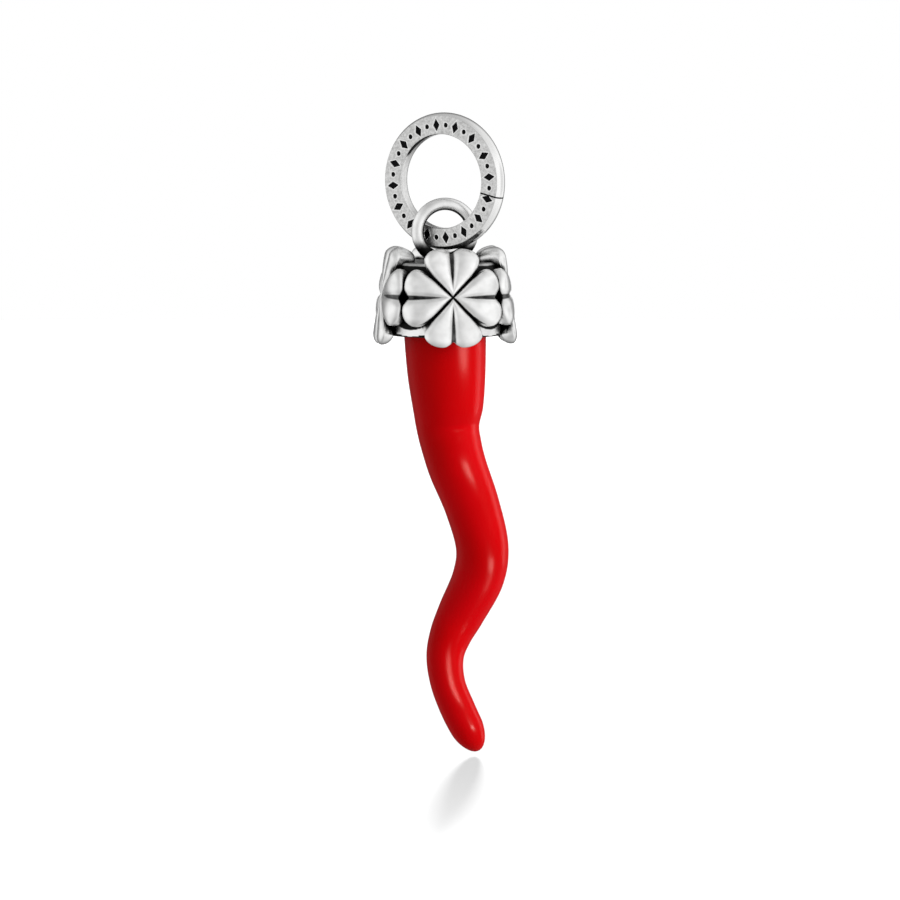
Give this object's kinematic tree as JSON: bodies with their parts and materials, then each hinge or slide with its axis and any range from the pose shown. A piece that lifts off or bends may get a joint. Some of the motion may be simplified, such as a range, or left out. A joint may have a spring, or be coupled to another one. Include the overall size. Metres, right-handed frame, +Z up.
{
  "type": "cornicello horn pendant",
  "caption": "S-shaped glossy horn charm in a cast silver cap with clover reliefs, hung by a bail loop on a closed jump ring.",
  "frame": {"origin": "inside top of the jump ring, where the chain or hook that carries the pendant lies", "axes": "+Z up towards the carrier, Y along the jump ring's axis, with the ring's engraved face towards -Y"},
  "size_m": [0.0148, 0.0148, 0.0642],
  "materials": {
    "ring_silver": "satin silver face with a polished outer wall and blackened engraving",
    "cap_silver": "polished cast silver, blackened in the recesses",
    "horn_red": "high-gloss red enamelled resin"
  },
  "bodies": {
    "hanger": {"ring": "ring_silver"},
    "drop": {"cap": "cap_silver", "horn": "horn_red"}
  },
  "joints": [
    {"name": "drop_swing", "type": "hinge", "parent": "hanger", "child": "drop", "pos_m": [0, 0, -0.0047], "axis": [0, 1, 0], "range_deg": [-120, 120]}
  ]
}
